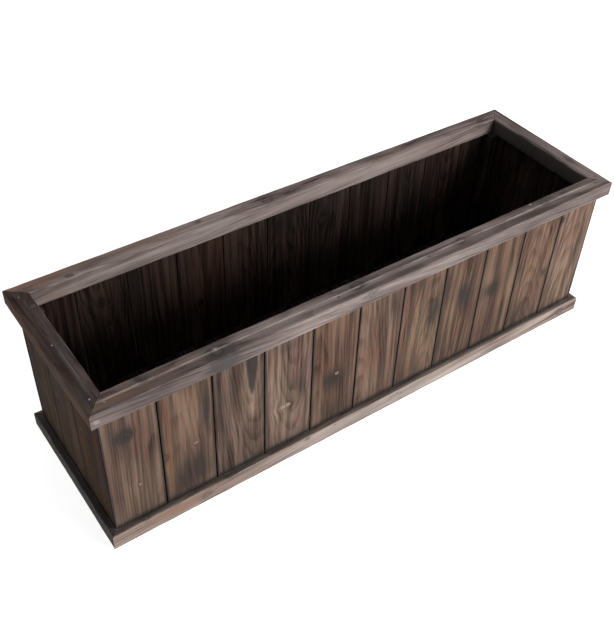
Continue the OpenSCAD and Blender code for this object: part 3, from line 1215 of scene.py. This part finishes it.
def rim_rail(side):
    node_name = f"rim_{SIDES[side]}"
    length = rim_l if side % 2 == 0 else rim_w
    piece = copy_to(long_rail if side % 2 == 0 else short_rail, node_name + "_wood", side=side)
    drill(piece, "rim_brads")
    along, inward, up = points_of(piece, side)
    drop = rim_z + rail_t - up
    across = np.where(inward < rail_w / 2, inward - drop, inward + drop)
    chance = random.Random(node_name)
    marks = RIM_MARKS[side] + rail_marks(chance, length, 30, 300)
    arris = arris_distance((along, inward, up), (-99, 0, rim_z), (length + 99, rail_w, rim_z + rail_t))
    on_top = up > rim_z + rail_t - 4
    # On the top the step counts as an edge: its pale line is partly edge wear and partly a painted highlight,
    # and the wear displacement leaves it alone.
    arris = np.where(on_top, np.minimum(np.abs(inward - STEP_AT), np.minimum(inward, rail_w - inward)), arris)
    nearest = grow(piece, along, across, (inward, up), marks, RIM_TONES_AND_SHADE[side], chance, arris)
    weather(piece, np.where(on_top & (np.abs(inward - STEP_AT) < 4), 4, arris), nearest, swell=0.4)
    underneath = rim_z + rail_t / 3
    # The underside takes the nearly black inside finish: painted shade.
    dress(piece, RIM_WOOD_AND_SHEEN, INSIDE_PAINTED_SHADE, lambda middle, facing: middle.z < underneath and facing.z < -0.9)
    stand_for(piece, node_name)
    return piece


rim = [rim_rail(side) for side in range(4)]
print("rim rails:", len(rim))

# %% [markdown]
# ## The foot trim
#
# The trim takes the splashes and the knocks, so its edges are the palest of all. The top of it is made
# darker where it meets the boards.

# %% Place the trim
TRIM_MARKS = {
    0: [("knot", 163, -14, 5, 0.2, 1.4), ("knot", 540, -16, 5, 0.2, 1.4), ("scorch", 548, -14, 16, 9, 1.0),
        ("knot", 953, -14, 6, 0.2, 1.4), ("scorch", 780, -20, 30, 5, 0.8), ("bare", 520, -18, 240, 14, 1.0),
        ("warm", 100, -8, 160, 10, 0.9), ("scorch", 330, -24, 40, 4, 0.6)],
    1: [], 2: [],
    # On the left strip one patch covers the whole outer face: painted shade.
    3: [("scorch", 150, -14, 260, 26, 1.6)],
}
# The left strip is made much darker: painted shade.
TRIM_TONES_AND_SHADE = (0.98, 0.9, 0.95, 0.25)


def trim_strip(side):
    node_name = f"trim_{SIDES[side]}"
    length = trim_l if side % 2 == 0 else trim_w
    inset = overhang - trim_t
    piece = copy_to(long_trim if side % 2 == 0 else short_trim, node_name + "_wood", (inset, inset, 0), side)
    drill(piece, "trim_brads")
    along, inward, up = points_of(piece, side)
    depth = inward - inset
    across = depth - (trim_h - up)
    chance = random.Random(node_name)
    marks = TRIM_MARKS[side] + rail_marks(chance, length, 8, 400)
    arris = arris_distance((along, depth, up), (-99, 0, 0), (length + 99, trim_t, trim_h))
    top_darkening = 1.35 * np.exp(-(((trim_t - depth) / 5) ** 2)) * (up > trim_h - 1)
    nearest = grow(piece, along, across, (depth, up), marks, (TRIM_TONES_AND_SHADE[side], 0.15, 1.0), chance, arris)
    add_darkening(piece, top_darkening)
    weather(piece, arris, nearest, swell=0.4)
    dress(piece, TRIM_WOOD)
    stand_for(piece, node_name)
    return piece


trim = [trim_strip(side) for side in range(4)]
print("trim strips:", len(trim))

# %% [markdown]
# ## The inside frame
#
# Four posts stand in the corners, four battens run round the foot, and ten floor boards lie across them
# with wide gaps for the water. They were sawn, not planed, and nobody sees them once the soil is in, but
# the box doesn't hold together without them.

# %% Place the posts, battens and floor boards
def frame_piece(model, node_name, grain, holes=None):
    """a sawn piece of the inside frame; grain is the axis its fibres follow"""
    low, high = (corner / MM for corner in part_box(node_name))
    piece = copy_to(model, node_name + "_wood", low)
    if holes:
        drill(piece, holes)
    points = points_of(piece)
    along = points[AXES[grain]] - low[AXES[grain]]
    first, second = (points[a] - low[a] for a in range(3) if a != AXES[grain])
    chance = random.Random(node_name)
    reach = high - low
    marks = chance_marks(chance, reach[AXES[grain]], -10, 20, 1, 2)
    arris = arris_distance(points, low, high)
    tone = (chance.uniform(0.8, 1.2), chance.uniform(0, 0.2), 1.0)
    nearest = grow(piece, along, first - second, (first, second), marks, tone, chance, arris)
    weather(piece, arris, nearest)
    # The dark frame finish is painted shade.
    dress(piece, FRAME_PAINTED_SHADE)
    stand_for(piece, node_name)
    return piece


CORNERS = ("front_left", "front_right", "back_left", "back_right")
inner = [frame_piece(post, f"post_{corner}", "z", "post_brads") for corner in CORNERS]
inner += [frame_piece(long_batten, f"batten_{side}", "x") for side in ("front", "back")]
inner += [frame_piece(end_batten, f"batten_{side}", "y") for side in ("right", "left")]


def notched_model(number, posts):
    """a floor board with its corners cut out round two posts"""
    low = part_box(f"floor_board_{number}")[0]
    board = copy_to(floor_plank, f"notched_{number}")
    cutters = []
    for node_name in posts:
        a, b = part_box(node_name)
        size = [(b.x - a.x) + 2 * MITRE_GAP * MM, (b.y - a.y) + 2 * MITRE_GAP * MM, 0.1]
        bpy.ops.object.select_all(action="DESELECT")
        middle = (a + b) / 2 - low
        bpy.ops.mesh.primitive_cube_add(size=1, location=(middle.x, middle.y, 0), scale=size)
        cutters.append(bpy.context.object)
    carve(board, cutters)
    return board


notched = {1: notched_model(1, ("post_front_left", "post_back_left")),
           10: notched_model(10, ("post_front_right", "post_back_right"))}
for number in range(1, 11):
    inner.append(frame_piece(notched.get(number, floor_plank), f"floor_board_{number}", "y", "floor_brads"))
print("inside frame pieces:", len(inner))

# %% [markdown]
# The models that the copies were taken from have done their work, and are cleared away.

# %% Clear the models away
for model in (long_rail, short_rail, long_trim, short_trim, front_board, end_board, post, long_batten,
              end_batten, floor_plank, *notched.values()):
    bpy.data.objects.remove(model)

# %% [markdown]
# ## Floor, light and camera
#
# The box stands on a white floor that glows a little, as on a light table, so that its shadows stay soft
# and its left end isn't lost.

# %% Lay the floor
FLOOR_SIZE = 60
FLOOR_GLOW = 0.80


def pale_floor():
    bpy.ops.object.select_all(action="DESELECT")
    bpy.ops.mesh.primitive_plane_add(size=FLOOR_SIZE, location=(0, 0, 0))
    floor = bpy.context.object
    floor.name = "studio_floor"
    material, _, shader = new_material("studio floor")
    shader.inputs["Base Color"].default_value = (0.85, 0.85, 0.85, 1)
    shader.inputs["Roughness"].default_value = 0.9
    shader.inputs["Emission Color"].default_value = (1, 1, 1, 1)
    shader.inputs["Emission Strength"].default_value = FLOOR_GLOW
    floor.data.materials.append(material)


pale_floor()
print("floor:", FLOOR_SIZE, "m square")

# %% [markdown]
# A large soft lamp stands low in front and to the right, and leaves the left end dark. A still softer one
# hangs above and behind, so that the tops of the rim and the trim show their shape. The world adds a
# little light from everywhere.

# %% Hang the lamps
WORLD_GLOW = 0.14


def soft_lamp(name, towards, distance, size, power):
    """a square area lamp that looks at the middle of the box from a direction"""
    data = bpy.data.lights.new(name, "AREA")
    data.size = size
    data.energy = power
    lamp = bpy.data.objects.new(name, data)
    bpy.context.scene.collection.objects.link(lamp)
    middle = (cad_box[0] + cad_box[1]) / 2
    direction = Vector(towards).normalized()
    lamp.location = middle + direction * distance
    lamp.rotation_euler = direction.to_track_quat("Z", "Y").to_euler()


soft_lamp("key lamp", (0.46, -0.80, 0.36), 3.2, 1.3, 82)
soft_lamp("top fill", (-0.1, 0.45, 1.0), 3.5, 2.4, 30)
scene = bpy.context.scene
scene.world = bpy.data.worlds.new("studio")
scene.world.use_nodes = True
sky = scene.world.node_tree.nodes["Background"]
sky.inputs["Color"].default_value = (1.0, 1.0, 1.0, 1)
sky.inputs["Strength"].default_value = WORLD_GLOW
print("lamps:", [lamp.name for lamp in bpy.data.lights])
scene.view_settings.view_transform = "Standard"

# %% [markdown]
# The camera looks down on the box over its near left corner. It is aimed along a direction and then
# leaned a little, as a camera held by hand is.

# %% Set up the camera
LENS = 52.7
SENSOR = 36
CAMERA_AT = (-0.742, -0.944, 1.210)
LOOK = (0.43809, 0.59472, -0.67408)
LEAN = math.radians(-2.27)


def set_camera():
    data = bpy.data.cameras.new("camera")
    data.lens = LENS
    data.sensor_width = SENSOR
    camera = bpy.data.objects.new("camera", data)
    scene.collection.objects.link(camera)
    camera.location = CAMERA_AT
    look = Vector(LOOK)
    turned = look.to_track_quat("-Z", "Y").to_matrix()
    lean = Matrix.Rotation(LEAN, 3, look)
    camera.rotation_euler = (lean @ turned).to_euler()
    scene.camera = camera


set_camera()
print(f"camera: {LENS} mm lens, {math.dist(CAMERA_AT, (0, 0, 0)):.2f} m from the origin")

# %% [markdown]
# ## The size of the frame
#
# The box of the frame is printed. The picture must not outgrow the design.

# %% Write the sizes
print("frame box:", [tuple(round(c, 4) for c in corner) for corner in cad_box])
